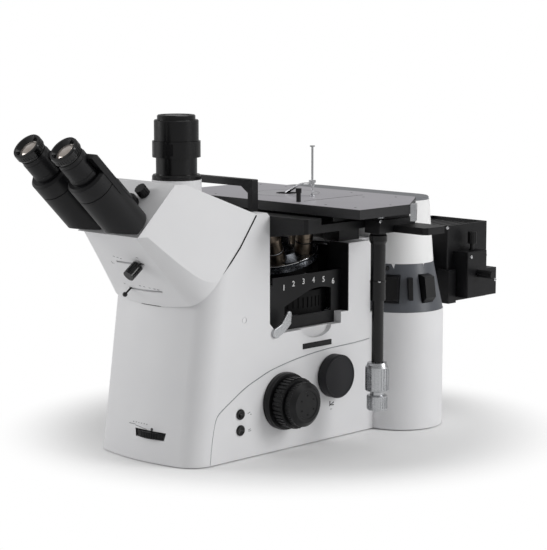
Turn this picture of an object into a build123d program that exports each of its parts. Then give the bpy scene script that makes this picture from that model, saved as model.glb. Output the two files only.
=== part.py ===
"""Inverted microscope with reflected-light lamp house, built as an assembly of separate pieces."""
import os
from math import atan2, cos, degrees, radians, sin
from build123d import *

os.makedirs("parts", exist_ok=True)

# drawn with X to the operator's right, minus Y towards the operator, Z up, the floor at zero and the
# stage's centre above zero; saved with the origin moved to the underside of the front right foot
clearance = 0.3
running = 0.05

# lower body
body_half = 92.9
body_bottom = 1.5
front_y = -273.0
front_lean = 0.141
front_crown = 8.5
corner_start = 68.0
corner_mid = (86.0, 20.0)
corner_end = 42.0
body_top = 310.0
column_rear_y = -127.5
foot_x, foot_front_y, foot_back_y = 66.0, -204.0, 156.0
foot_radius = 14.0
bay_floor = 153.5
bay_rear_y = 20.9
bay_step_y = 6.3
bay_step_z = 168.0
rear_wall_y = 64.4
rear_wall_top = 258.0
seam = [(-150, 311), (-180, 270.6), (-215, 233.5), (-233, 211), (-246, 195)]

# rear column
column_x = 90.0
column_y = 130.0
column_radius = 58.0
band_z = 161.0
band_top = 225.0
band_radius = 57.5
upper_radius = 44.0
column_top_radius = 37.5
column_top = 309.0
cover_top = 313.0
neck_half = 72.0
neck_y = 92.0
step_y, step_z = 108.0, 296.0

# head
head_top = 351.0
shoulder = (-316.5, 291.0)
ridge = (-256.5, 351.0)
roof_break_y = -243.0
head_back = (-152.0, 310.0)
head_side_point = (92.9, -240.0, 208.0)
head_side_normal = (0.950, -0.2356, 0.2058)
port_y = -200.6
boss_radius = 31.5

# binocular
pivot = (0.0, -286.5, 321.0)
eye_x = 34.1
eye_y = -31.1
lobe_radius = 26.0
lobe_base = 4.0
lobe_top = 100.0
eyetube_radius = 18.0
eyetube_top = 133.0
eyepiece_top = 146.5
hinge_pin_radius = 9.0

# stage
support_bottom = 279.0
support_wing = 287.0
support_top = 297.0
support_half = 156.0
carriage_top = 307.0
plate_bottom = 307.5
plate_top = 319.5
plate_left, plate_right = -139.0, 214.3
plate_front, plate_back = -93.5, 81.5
insert_radius = 43.0
insert_hole = 10.0
drive_x, drive_y = support_half + 11.0, -5.0
carriage_half = support_half - 6.0
drive_tube_top = 281.0
x_shaft_radius = 3.0
y_sleeve_radius = 5.5

# nosepiece and cube turret
optical_y = 20.0
tilt = 15.0
seat_radius = 34.0
seat_z = 250.0
objective_length = 52.0
turret_radius = 48.0
cube_y = -28.0
cube_radius = 72.0
recess_half, recess_y, recess_z = 60.0, 46.0, 205.0
cube_bottom, cube_top = 168.0, 198.0

# focus drive
focus_y, focus_z = -103.0, 65.5
coarse_shaft_radius = 9.0
fine_shaft_radius = 4.0

lamp_half = 52.0
lamp_front, lamp_back = 276.0, 368.0
lamp_bottom, lamp_top = 146.0, 256.0
lamp_axis_z = 200.0
adapter_radius = 22.0
adapter_bore = 16.0
adapter_start = 170.0


def side_plane(x):
    return Plane(origin=(x, 0, 0), x_dir=(0, 1, 0), z_dir=(1, 0, 0))


def front_plane(y):
    return Plane(origin=(0, y, 0), x_dir=(1, 0, 0), z_dir=(0, -1, 0))


def round_bar(plane, radius, start, end, mode=Mode.ADD):
    with BuildSketch(plane.offset(start)) as outline:
        Circle(radius)
    extrude(outline.sketch, amount=end - start, mode=mode)


def block(x_range, y_range, z_range, mode=Mode.ADD):
    with BuildSketch(Plane.XY.offset(z_range[0])) as outline:
        with Locations(((x_range[0] + x_range[1]) / 2, (y_range[0] + y_range[1]) / 2)):
            Rectangle(x_range[1] - x_range[0], y_range[1] - y_range[0])
    extrude(outline.sketch, amount=z_range[1] - z_range[0], mode=mode)


def side_shape(points, x_start, x_end, mode=Mode.ADD):
    with BuildSketch(side_plane(x_start)) as outline:
        Polygon(*points, align=None)
    extrude(outline.sketch, amount=x_end - x_start, mode=mode)


def front_shape(points, y_start, y_end, mode=Mode.ADD):
    with BuildSketch(front_plane(y_start)) as outline:
        Polygon(*points, align=None)
    extrude(outline.sketch, amount=y_start - y_end, mode=mode)


def turned(plane, profile, mode=Mode.ADD):
    # profile: (radius, height) pairs along the plane's own normal
    across = Plane(origin=plane.origin, x_dir=plane.x_dir, z_dir=-plane.y_dir)
    with BuildSketch(across) as outline:
        Polygon(*profile, align=None)
    revolve(outline.sketch, axis=Axis(plane.origin, plane.z_dir), mode=mode)


def ribs_cut(plane, radius, start, end, count, width, depth):
    with BuildSketch(plane.offset(start)) as outline:
        with PolarLocations(radius, count):
            Rectangle(depth * 2, width)
    extrude(outline.sketch, amount=end - start, mode=Mode.SUBTRACT)


def plan_section(y, z, crown, start, mid, end, back_y, half=body_half):
    with BuildSketch(Plane.XY.offset(z)) as outline:
        with BuildLine():
            ThreePointArc((-start, y + crown), (0, y), (start, y + crown))
            ThreePointArc((start, y + crown), (mid[0], y + mid[1]), (half, y + end))
            Polyline((half, y + end), (half, back_y), (-half, back_y), (-half, y + end))
            ThreePointArc((-half, y + end), (-mid[0], y + mid[1]), (-start, y + crown))
        make_face()
    return outline.sketch


def stadium(radius, z):
    with BuildSketch(Plane.XY.offset(z)) as outline:
        with Locations((0, column_y)):
            SlotOverall(2 * (column_x + radius), 2 * radius)
    return outline.sketch


def save(name, builder):
    placed = builder.part.moved(Location((-foot_x, -foot_front_y, 0)))
    placed.label = name
    export_step(placed, "parts/" + name + ".step")


groove_points = [(-233.3, 2.1), (-232, 15.8), (-229.3, 34.4), (-225.8, 50.3), (-221.4, 61), (-212.7, 68.5),
                 (-198.7, 76.6), (-181.2, 86.7), (-163.4, 95), (-145.5, 101.4), (-127.4, 107.3), (-109.2, 111.2),
                 (-90.7, 114.5), (-53.2, 119.4), (-14.9, 122.3), (24.2, 123.2), (63.6, 125.6)]
groove_half, groove_depth = 0.7, 1.0

# lower body housing
button_y, upper_button_z, lower_button_z = -180.8, 59.1, 38.6
button_radius = 6.8
wheel_x, wheel_z, wheel_radius, wheel_height = 16.5, 35.5, 42.0, 8.0
wheel_y = front_y + front_lean * wheel_z + 37.0
slider_y, slider_z = (-67.0, -12.0), (127.0, 134.5)
slider_depth = 45.0
port_cover_y, port_cover_z = -10.5, 85.5
lever_y, lever_z = -118.0, 155.0
back_y = column_y + column_radius
inlet_x, switch_x, inlet_z = (-55.0, -27.0), (-92.0, -72.0), (30.0, 52.0)
sections = [plan_section(front_y + front_lean * z, z, front_crown, corner_start, corner_mid, corner_end, neck_y)
            for z in (body_bottom, body_top + 10)]
with BuildPart() as body_housing:
    loft(sections)
    add(extrude(stadium(column_radius, body_bottom), amount=band_z - body_bottom, mode=Mode.PRIVATE))
    with BuildSketch(side_plane(0)) as side_outline:
        Polygon((-300, body_bottom), (200, body_bottom), (200, band_z), (neck_y, band_z), (neck_y, rear_wall_top),
                (bay_rear_y, rear_wall_top), (bay_rear_y, bay_step_z), (bay_step_y, bay_step_z),
                (bay_step_y, bay_floor), (-102, bay_floor), (-119, 159), (column_rear_y, 168),
                (column_rear_y, body_top - 5), (column_rear_y - 5, body_top), (seam[0][0] - 1, body_top),
                *seam[1:], (-300, 195), align=None)
    extrude(amount=200, both=True, mode=Mode.INTERSECT)
    # narrow neck between the rear wall and the upper column
    for side in (-1, 1):
        block(sorted((side * neck_half, side * 160)), (rear_wall_y, neck_y + 1), (band_z, 300), Mode.SUBTRACT)
    # recess for the base plate
    block((-84, 84), (-224, 176), (0, body_bottom + 5), Mode.SUBTRACT)
    # pocket and spindle of the cube turret
    turret_centre = Plane(origin=(0, cube_y, 0))
    round_bar(turret_centre, cube_radius + 1.5, cube_bottom - 1.5, cube_top + 1.5, Mode.SUBTRACT)
    round_bar(turret_centre, 18, bay_floor - 1, cube_bottom - clearance)
    round_bar(turret_centre, 8, bay_floor - 1, cube_top - 4)
    # recess of the nosepiece in the rear wall
    block((-recess_half, recess_half), (bay_rear_y - 3, recess_y), (recess_z, rear_wall_top), Mode.SUBTRACT)
    # light bore below the optical axis
    round_bar(Plane(origin=(0, optical_y - 22, 0)), 12, 110, bay_floor, Mode.SUBTRACT)
    # focus shaft bore
    focus_axis = Plane(origin=(0, focus_y, focus_z), x_dir=(0, 1, 0), z_dir=(1, 0, 0))
    round_bar(focus_axis, coarse_shaft_radius + running, -body_half - 8, body_half + 8, Mode.SUBTRACT)
    # button bores and the light control pocket
    for z in (upper_button_z, lower_button_z):
        round_bar(Plane(origin=(0, button_y, z), z_dir=(1, 0, 0)), button_radius + running, body_half - 14,
                  body_half + 8, Mode.SUBTRACT)
    wheel_centre = Plane(origin=(wheel_x, wheel_y, 0))
    round_bar(wheel_centre, wheel_radius + 1.5, wheel_z - 5, wheel_z + 5, Mode.SUBTRACT)
    round_bar(wheel_centre, 3, wheel_z - 6, wheel_z + 6)
    # side slot for the slider and the finger recess over it
    block((body_half - slider_depth, body_half + 8), slider_y, slider_z, Mode.SUBTRACT)
    with BuildSketch(side_plane(body_half - 7)):
        with Locations((-40.5, bay_floor)):
            Ellipse(27.5, 13.5)
    extrude(amount=20, mode=Mode.SUBTRACT)
    # power inlet and main switch openings in the back
    block(inlet_x, (back_y - 20, 200), inlet_z, Mode.SUBTRACT)
    block(switch_x, (back_y - 16, 200), inlet_z, Mode.SUBTRACT)
    # lever pin bore and blind plug ring
    round_bar(Plane(origin=(0, lever_y, lever_z), z_dir=(1, 0, 0)), 3 + running, body_half - 12, body_half + 8,
              Mode.SUBTRACT)
    for side in (-1, 1):
        plug_plane = Plane(origin=(side * body_half, -172.8, 177.9), z_dir=(side, 0, 0))
        round_bar(plug_plane, 4, -0.8, 1, Mode.SUBTRACT)
        round_bar(plug_plane, 3.3, -1, -0.2)
    # decorative groove along both sides
    for side in (-1, 1):
        with BuildSketch(side_plane(side * (body_half - groove_depth))):
            with BuildLine():
                upper_line = Spline([(y, z + groove_half) for y, z in groove_points])
                lower_line = Spline([(y + groove_half, z - groove_half) for y, z in groove_points])
                Line(upper_line @ 0, lower_line @ 0)
                Line(upper_line @ 1, lower_line @ 1)
            make_face()
        extrude(amount=side * 5, mode=Mode.SUBTRACT)
save("body_housing", body_housing)

# base plate and feet
with BuildPart() as base_plate:
    with BuildSketch(Plane.XY.offset(body_bottom + 2)):
        with Locations((0, -24)):
            RectangleRounded(167.4, 399.4, 4)
    extrude(amount=3)
save("base_plate", base_plate)
with BuildPart() as rubber_feet:
    with BuildSketch(Plane.XY):
        with Locations(*[(x, y) for x in (-foot_x, foot_x) for y in (foot_front_y, foot_back_y)]):
            Circle(foot_radius)
    extrude(amount=body_bottom + 2)
    chamfer(rubber_feet.faces().sort_by(Axis.Z)[:4].edges(), 1)
save("rubber_feet", rubber_feet)

# head cover with the binocular face, the overhanging front and the camera port boss
low_front = seam[-1][0] + 0.745 * 5
low_section = plan_section(low_front, 190, front_crown, corner_start, corner_mid, corner_end, -140)
high_section = plan_section(shoulder[0], shoulder[1], 3, 48, (61, 15), 76, -140)
slot_upper, slot_lower = (-16.0, 35.0, 253.0), (-23.5, 37.0, 216.0)
low_face = Plane(origin=(0, seam[-1][0], seam[-1][1]), x_dir=(1, 0, 0), z_dir=(0, -0.8018, -0.5976))
with BuildPart() as head_cover:
    loft([low_section, high_section])
    block((-body_half, body_half), (shoulder[0], -140), (shoulder[1], head_top))
    with BuildSketch(side_plane(0)):
        Polygon((seam[0][0] - 0.3, seam[0][1]), *[(y - 0.3, z + 0.3) for y, z in seam[1:-1]],
                (seam[-1][0], seam[-1][1] + 0.3), (-345, seam[-1][1] + 0.3), (-345, 262.5), ridge,
                (roof_break_y, head_top), head_back, align=None)
    extrude(amount=200, both=True, mode=Mode.INTERSECT)
    for side in (-1, 1):
        point = (side * head_side_point[0], head_side_point[1], head_side_point[2])
        normal = (side * head_side_normal[0], head_side_normal[1], head_side_normal[2])
        split(bisect_by=Plane(origin=point, z_dir=normal), keep=Keep.BOTTOM)
    round_bar(Plane(origin=(0, port_y, 0)), boss_radius, 320, head_top)
    # slots of the two sliders in the overhanging front
    for left, right, z in (slot_upper, slot_lower):
        along = (z - seam[-1][1]) / 0.8018
        with BuildSketch(low_face.offset(4)):
            with Locations(((left + right) / 2, -along if low_face.y_dir.Z < 0 else along)):
                SlotOverall(right - left, 3.2)
        extrude(amount=-14, mode=Mode.SUBTRACT)
save("head_cover", head_cover)

# carrying handle behind the head
handle_y = (-138.0, column_rear_y)
with BuildPart() as carry_handle:
    handle_top = 350.5
    front_shape([(-72, body_top), (-72, handle_top), (72, handle_top), (72, body_top), (64, body_top),
                 (64, handle_top - 17), (52, handle_top - 9), (-52, handle_top - 9), (-64, handle_top - 17),
                 (-64, body_top)], handle_y[1], handle_y[0])
    fillet(carry_handle.edges().filter_by(Axis.Y).group_by(Axis.Z)[-1], 1.5)
save("carry_handle", carry_handle)

# rear column: dark band, white upper part and top cover
lamp_axis = Plane(origin=(0, 0, lamp_axis_z), x_dir=(1, 0, 0), z_dir=(0, 1, 0))
with BuildPart() as column_band:
    band_taper = degrees(atan2(band_radius - upper_radius, band_top - band_z))
    extrude(stadium(band_radius, band_z), amount=band_top - band_z, taper=band_taper)
    block((-neck_half - clearance, neck_half + clearance), (60, neck_y + clearance), (150, 240), Mode.SUBTRACT)
    round_bar(lamp_axis, adapter_radius, adapter_start, 200, Mode.SUBTRACT)
    for side in (-1, 1):
        for angle in (-62, -8):
            spot = Plane(origin=(side * column_x, column_y, 0), x_dir=(side, 0, 0), z_dir=(0, 0, 1))
            with BuildSketch(spot.offset(band_z + 12)):
                with Locations(Location((0, 0, 0), side * angle)):
                    with Locations((45, 0)):
                        Rectangle(26, 20)
            extrude(amount=38, mode=Mode.SUBTRACT)
save("column_band", column_band)
with BuildPart() as column_upper:
    upper_taper = degrees(atan2(upper_radius - column_top_radius, column_top - band_top))
    extrude(stadium(upper_radius, band_top), amount=column_top - band_top, taper=upper_taper)
    block((-neck_half - clearance, neck_half + clearance), (60, neck_y + clearance), (220, rear_wall_top + 1),
          Mode.SUBTRACT)
    # step that lets the stage travel backwards
    block((-200, 200), (60, step_y), (step_z, 320), Mode.SUBTRACT)
save("column_upper", column_upper)
with BuildPart() as column_top_cover:
    extrude(stadium(column_top_radius - 0.8, column_top), amount=cover_top - column_top)
    block((-200, 200), (60, step_y), (step_z, 320), Mode.SUBTRACT)
    chamfer(column_top_cover.faces().sort_by(Axis.Z)[-1].edges(), 1.2)
save("column_top_cover", column_top_cover)


# levers and sliders in the band's pockets
def band_piece(angle, outline_points, width, name):
    # outline in the radial plane: distance from the column axis and height
    turned_plane = Plane(origin=(column_x, column_y, 0),
                         x_dir=(cos(radians(angle)), sin(radians(angle)), 0),
                         z_dir=(sin(radians(angle)), -cos(radians(angle)), 0))
    with BuildPart() as piece:
        with BuildSketch(turned_plane.offset(-width / 2)):
            Polygon(*outline_points, align=None)
        extrude(amount=width)
    save(name, piece)
    return piece


aperture_slider = band_piece(-62, [(34, band_z + 13), (57, band_z + 13), (63, band_z + 18), (60, band_z + 47),
                                   (50, band_z + 49.5), (34, band_z + 49.5)], 19, "aperture_slider")
field_slider = band_piece(-8, [(34, band_z + 13), (56, band_z + 13), (62, band_z + 20), (58, band_z + 47),
                               (50, band_z + 49.5), (34, band_z + 49.5)], 17, "field_slider")
filter_tab = band_piece(-36, [(54.8, band_z + 20), (61, band_z + 17), (57, band_z + 47), (49.8, band_z + 47),
                              (49.9, band_z + 37)], 6, "filter_tab")

# lamp house on the back
with BuildPart() as lamp_adapter:
    round_bar(lamp_axis, adapter_radius - running, adapter_start, lamp_front)
    round_bar(lamp_axis, adapter_radius + 7, lamp_front - 14, lamp_front)
    round_bar(lamp_axis, adapter_bore, adapter_start, lamp_front, Mode.SUBTRACT)
save("lamp_adapter", lamp_adapter)
with BuildPart() as lamp_house:
    block((-lamp_half, lamp_half), (lamp_front, lamp_back), (lamp_bottom, lamp_top))
    fillet(lamp_house.edges().filter_by(Axis.Z), 3)
    block((-lamp_half + 3, lamp_half - 3), (lamp_front + 3, lamp_back - 3), (lamp_top - 4, lamp_top), Mode.SUBTRACT)
    block((-lamp_half + 9, lamp_half - 9), (lamp_front + 9, lamp_back - 9), (lamp_bottom + 9, lamp_top - 12),
          Mode.SUBTRACT)
    round_bar(lamp_axis, adapter_bore, lamp_front - 1, lamp_front + 10, Mode.SUBTRACT)
    for x in range(-36, 37, 12):
        block((x - 2, x + 2), (lamp_front + 12, lamp_back - 12), (lamp_bottom - 1, lamp_bottom + 10), Mode.SUBTRACT)
        block((x - 2, x + 2), (lamp_front + 12, lamp_back - 12), (lamp_top - 13, lamp_top), Mode.SUBTRACT)
    block((lamp_half - 12, lamp_half + 8), (lamp_front - 6, lamp_front + 11), (lamp_bottom - 1, 193))
    # pocket behind the adjuster
    round_bar(Plane(origin=(0, 312, 187), z_dir=(1, 0, 0)), 5, lamp_half - 12, lamp_half + 1, Mode.SUBTRACT)
save("lamp_house", lamp_house)
with BuildPart() as lamp_adjuster:
    side_shape([(288.5, 153), (355, 153), (355, 192), (332, 192), (332, 219), (288.5, 219)],
               lamp_half, lamp_half + 28)
    chamfer(lamp_adjuster.faces().sort_by(Axis.X)[-1].edges(), 1)
    round_bar(Plane(origin=(lamp_half + 14, 315, 0)), 3 + running, 190, 230, Mode.SUBTRACT)
    round_bar(Plane(origin=(0, 312, 187), z_dir=(1, 0, 0)), 3 + running, lamp_half - 1, lamp_half + 40,
              Mode.SUBTRACT)
save("lamp_adjuster", lamp_adjuster)
with BuildPart() as lamp_height_knob:
    knob_plane = Plane(origin=(lamp_half + 14, 315, 0))
    round_bar(knob_plane, 3, 192, 232)
    round_bar(knob_plane, 6.5, 229, 246)
    ribs_cut(knob_plane, 6.5, 230, 247, 12, 1.0, 0.6)
    round_bar(knob_plane, 4.5, 219.5, 221)
save("lamp_height_knob", lamp_height_knob)
with BuildPart() as lamp_side_knob:
    knob_plane = Plane(origin=(0, 312, 187), z_dir=(1, 0, 0))
    round_bar(knob_plane, 3, lamp_half - 6, lamp_half + 32)
    round_bar(knob_plane, 5.5, lamp_half + 29, lamp_half + 55)
    ribs_cut(knob_plane, 5.5, lamp_half + 40, lamp_half + 56, 12, 1.0, 0.5)
save("lamp_side_knob", lamp_side_knob)
with BuildPart() as halogen_lamp:
    lamp_stand = Plane(origin=(0, 318, 0))
    round_bar(lamp_stand, 14, lamp_bottom + 9, lamp_bottom + 24)
    round_bar(lamp_stand, 7, lamp_bottom + 24, lamp_axis_z - 12)
    turned(lamp_stand, [(0, lamp_axis_z - 12), (4.5, lamp_axis_z - 12), (6, lamp_axis_z - 6), (6, lamp_axis_z + 8),
                        (3, lamp_axis_z + 14), (0, lamp_axis_z + 15)])
save("halogen_lamp", halogen_lamp)

# lining of the nosepiece bay, number plate and cube turret
with BuildPart() as bay_lining:
    block((-body_half, body_half), (bay_rear_y - 2, bay_rear_y), (bay_step_z, rear_wall_top))
    block((-recess_half, recess_half), (bay_rear_y - 3, recess_y), (recess_z, rear_wall_top + 1), Mode.SUBTRACT)
    round_bar(turret_centre, cube_radius + 1.5, cube_bottom - 1.5, cube_top + 1.5, Mode.SUBTRACT)
save("bay_lining", bay_lining)
plate_x = body_half - 14.9
with BuildPart() as number_plate:
    with BuildSketch(side_plane(plate_x)):
        Polygon((column_rear_y, 170), (-116, 160), (-101, bay_floor), (bay_step_y, bay_floor),
                (bay_step_y, bay_step_z), (bay_rear_y - 2, bay_step_z), (bay_rear_y - 2, 223), (-110, 223),
                (-110, 214), (column_rear_y, 214), align=None)
        with BuildLine(mode=Mode.PRIVATE) as window_line:
            Polyline((-88, 170), (0, 170), (0, 200))
            ThreePointArc((0, 200), (-22, 203), (-44, 200))
            Line((-44, 200), (-88, 184))
            Line((-88, 184), (-88, 170))
        make_face(window_line.edges(), mode=Mode.SUBTRACT)
    extrude(amount=2.5)
save("number_plate", number_plate)
with BuildPart() as cube_turret:
    round_bar(turret_centre, cube_radius, cube_bottom, cube_top)
    ribs_cut(turret_centre, cube_radius, cube_bottom + 8, cube_top - 8, 60, 2.2, 1.2)
    with BuildSketch(Plane.XY.offset(cube_bottom)):
        with Locations((0, cube_y)):
            with PolarLocations(optical_y - cube_y, 6, start_angle=90):
                Rectangle(24, 24)
            Circle(8 + running)
    extrude(amount=cube_top - cube_bottom, mode=Mode.SUBTRACT)
save("cube_turret", cube_turret)
with BuildPart() as selector_lever:
    lever_plane = Plane(origin=(0, lever_y, lever_z), x_dir=(0, 1, 0), z_dir=(1, 0, 0))
    round_bar(lever_plane, 3, body_half - 11, body_half + 3)
    with BuildSketch(lever_plane.offset(body_half + clearance)):
        Circle(6.5)
        with BuildLine():
            Polyline((-3, 5.5), (9, 10.5), (20, 24))
            ThreePointArc((20, 24), (24.5, 26), (27.5, 22.5))
            Polyline((27.5, 22.5), (26, 9), (16, 0.5), (2, -6), (-3, 5.5))
        make_face()
    extrude(amount=3.2)
    fillet(selector_lever.faces().sort_by(Axis.X)[-1].edges(), 0.8)
save("selector_lever", selector_lever)
with BuildPart() as analyser_slider:
    inner = 0.25
    block((body_half - slider_depth + 3, body_half - 1), (slider_y[0] + 4, slider_y[1] - 4),
          (slider_z[0] + 1, slider_z[1] - 1))
    block((body_half - 2, body_half + 0.4), (slider_y[0] + inner, slider_y[1] - inner),
          (slider_z[0] + inner, slider_z[1] - inner))
    round_bar(Plane(origin=(body_half - 24, sum(slider_y) / 2, 0)), 9, 100, 150, Mode.SUBTRACT)
save("analyser_slider", analyser_slider)
with BuildPart() as side_port_cover:
    cover_plane = Plane(origin=(body_half, port_cover_y, port_cover_z), z_dir=(1, 0, 0))
    turned(cover_plane, [(0, 0), (27.5, 0), (27.5, 1.5), (28.8, 1.5), (28.8, 13.2), (27.6, 14.6), (26, 14.6),
                         (25.4, 14.0), (0, 14.0)])
save("side_port_cover", side_port_cover)

# nosepiece: focusing slide, tilted turret and objectives
up_tilt = (0, -sin(radians(tilt)), cos(radians(tilt)))
turret_origin = (0, optical_y - seat_radius * cos(radians(tilt)), seat_z - seat_radius * sin(radians(tilt)))
turret_plane = Plane(origin=turret_origin, x_dir=(1, 0, 0), z_dir=up_tilt)
optical_axis = Plane(origin=(0, optical_y, 0))
seats = []
for index in range(5):
    around = radians(90 + 72 * index)
    out = turret_plane.x_dir * cos(around) + turret_plane.y_dir * sin(around)
    seat = turret_plane.origin + out * seat_radius
    aim = turret_plane.z_dir * cos(radians(tilt)) + out * sin(radians(tilt))
    seats.append(Plane(origin=seat, z_dir=aim))
with BuildPart() as nosepiece_slide:
    round_bar(turret_plane, 40, -26, -14.4)
    block((-36, 36), (22, recess_y - clearance), (recess_z + 5, 235))
    block((-recess_half + 6, recess_half - 6), (recess_y - 6, recess_y - clearance), (recess_z + 5, 252))
    round_bar(turret_plane, 6, -20, -3)
    round_bar(optical_axis, 8, 190, seat_z, Mode.SUBTRACT)
save("nosepiece_slide", nosepiece_slide)
with BuildPart() as nosepiece_turret:
    turned(turret_plane, [(6 + running, -14), (turret_radius + 1.5, -14), (turret_radius + 1.5, -7), (turret_radius, -6),
                          (turret_radius, -3), (30, 3), (10, 4), (6 + running, 4)])
    ribs_cut(turret_plane, turret_radius + 1.5, -13.5, -7, 72, 1.6, 0.8)
    for seat_plane in seats:
        round_bar(seat_plane, 13.5, -6, 0)
    for seat_plane in seats:
        round_bar(seat_plane, 13.6, 0, 12, Mode.SUBTRACT)
    for seat_plane in seats:
        round_bar(seat_plane, 8, -22, 1, Mode.SUBTRACT)
    round_bar(turret_plane, 60, -40, -14, Mode.SUBTRACT)
save("nosepiece_turret", nosepiece_turret)
profiles = [
    [(0, 0), (12, 0), (12, 22), (11.2, 22), (11.2, 24), (12, 24), (12, 38), (9, 44), (7, 52), (3, 52), (3, 51), (0, 51)],
    [(0, 0), (12, 0), (12, 14), (11, 15), (11, 30), (12, 31), (12, 36), (9, 42), (8, 46), (4, 46), (4, 45), (0, 45)],
]
with BuildPart() as high_objectives:
    for seat_plane in seats[0::2]:
        turned(seat_plane, profiles[0])
        ribs_cut(seat_plane, 12, 3, 9, 24, 0.9, 0.5)
save("high_objectives", high_objectives)
with BuildPart() as low_objectives:
    for seat_plane in seats[1::2]:
        turned(seat_plane, profiles[1])
        ribs_cut(seat_plane, 12, 3, 9, 24, 0.9, 0.5)
save("low_objectives", low_objectives)

# focus knobs on both sides, fixed rings, coarse and fine shafts
with BuildPart() as focus_rings:
    for side in (-1, 1):
        ring_plane = Plane(origin=(side * body_half, focus_y, focus_z), z_dir=(side, 0, 0))
        turned(ring_plane, [(coarse_shaft_radius + 4, 0), (37, 0), (37.5, 6), (36.5, 10.5), (coarse_shaft_radius + 4, 10.5)])
save("focus_rings", focus_rings)
with BuildPart() as coarse_focus:
    round_bar(focus_axis, coarse_shaft_radius, -body_half - 12, body_half + 12)
    for side in (-1, 1):
        ring_plane = Plane(origin=(side * body_half, focus_y, focus_z), z_dir=(side, 0, 0))
        turned(ring_plane, [(0, 11), (31, 11), (33, 12.5), (33, 27), (31.5, 28.6), (0, 28.6)])
        ribs_cut(ring_plane, 33, 13, 29, 36, 2.4, 1.2)
    round_bar(focus_axis, fine_shaft_radius + running, -200, 200, Mode.SUBTRACT)
save("coarse_focus", coarse_focus)
with BuildPart() as fine_focus:
    round_bar(focus_axis, fine_shaft_radius, -body_half - 35, body_half + 35)
    for side in (-1, 1):
        ring_plane = Plane(origin=(side * body_half, focus_y, focus_z), z_dir=(side, 0, 0))
        turned(ring_plane, [(0, 29), (28.2, 29), (28.6, 31), (28.6, 39), (22.5, 44), (18, 44), (17.5, 43.2), (0, 43.2)])
        ribs_cut(ring_plane, 28.6, 29.5, 38, 48, 1.4, 0.7)
        with BuildSketch(ring_plane.offset(42.2)):
            with PolarLocations(12.5, 6):
                Circle(1.2)
        extrude(amount=3, mode=Mode.SUBTRACT)
save("fine_focus", fine_focus)

# light control wheel and the two side buttons
with BuildPart() as light_wheel:
    round_bar(wheel_centre, wheel_radius, wheel_z - wheel_height / 2, wheel_z + wheel_height / 2)
    ribs_cut(wheel_centre, wheel_radius, wheel_z - 5, wheel_z + 5, 72, 1.8, 0.9)
    round_bar(wheel_centre, 3 + running, 0, 100, Mode.SUBTRACT)
save("light_wheel", light_wheel)
for button_name, button_z in (("upper_button", upper_button_z), ("lower_button", lower_button_z)):
    with BuildPart() as button:
        button_plane = Plane(origin=(body_half, button_y, button_z), z_dir=(1, 0, 0))
        turned(button_plane, [(0, -10), (button_radius, -10), (button_radius, 1.6), (button_radius - 0.8, 2.4),
                              (5, 2.4), (0, 1.2)])
    save(button_name, button)


# sliders of the head: beam knob and small lever
def low_face_point(x, z, lift):
    along = (z - seam[-1][1]) / 0.8018
    return low_face.origin + Vector(x, 0, 0) + Vector(0, -0.5976, 0.8018) * along + low_face.z_dir * lift


beam_plane = Plane(origin=low_face_point(26, slot_upper[2], 0.6), x_dir=(1, 0, 0), z_dir=low_face.z_dir)
with BuildPart() as beam_knob:
    round_bar(beam_plane, 1.4, -6, 4)
    round_bar(beam_plane, 7.5, 1.2, 20)
    ribs_cut(beam_plane, 7.5, 3, 17, 14, 1.3, 0.8)
save("beam_knob", beam_knob)
pin_plane = Plane(origin=low_face_point(-21, slot_lower[2], 0.6), x_dir=(1, 0, 0), z_dir=low_face.z_dir)
with BuildPart() as beam_lever:
    round_bar(pin_plane, 1.3, -6, 9)
    with Locations(pin_plane.origin + pin_plane.z_dir * 10.5):
        Sphere(3.2)
save("beam_lever", beam_lever)

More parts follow.
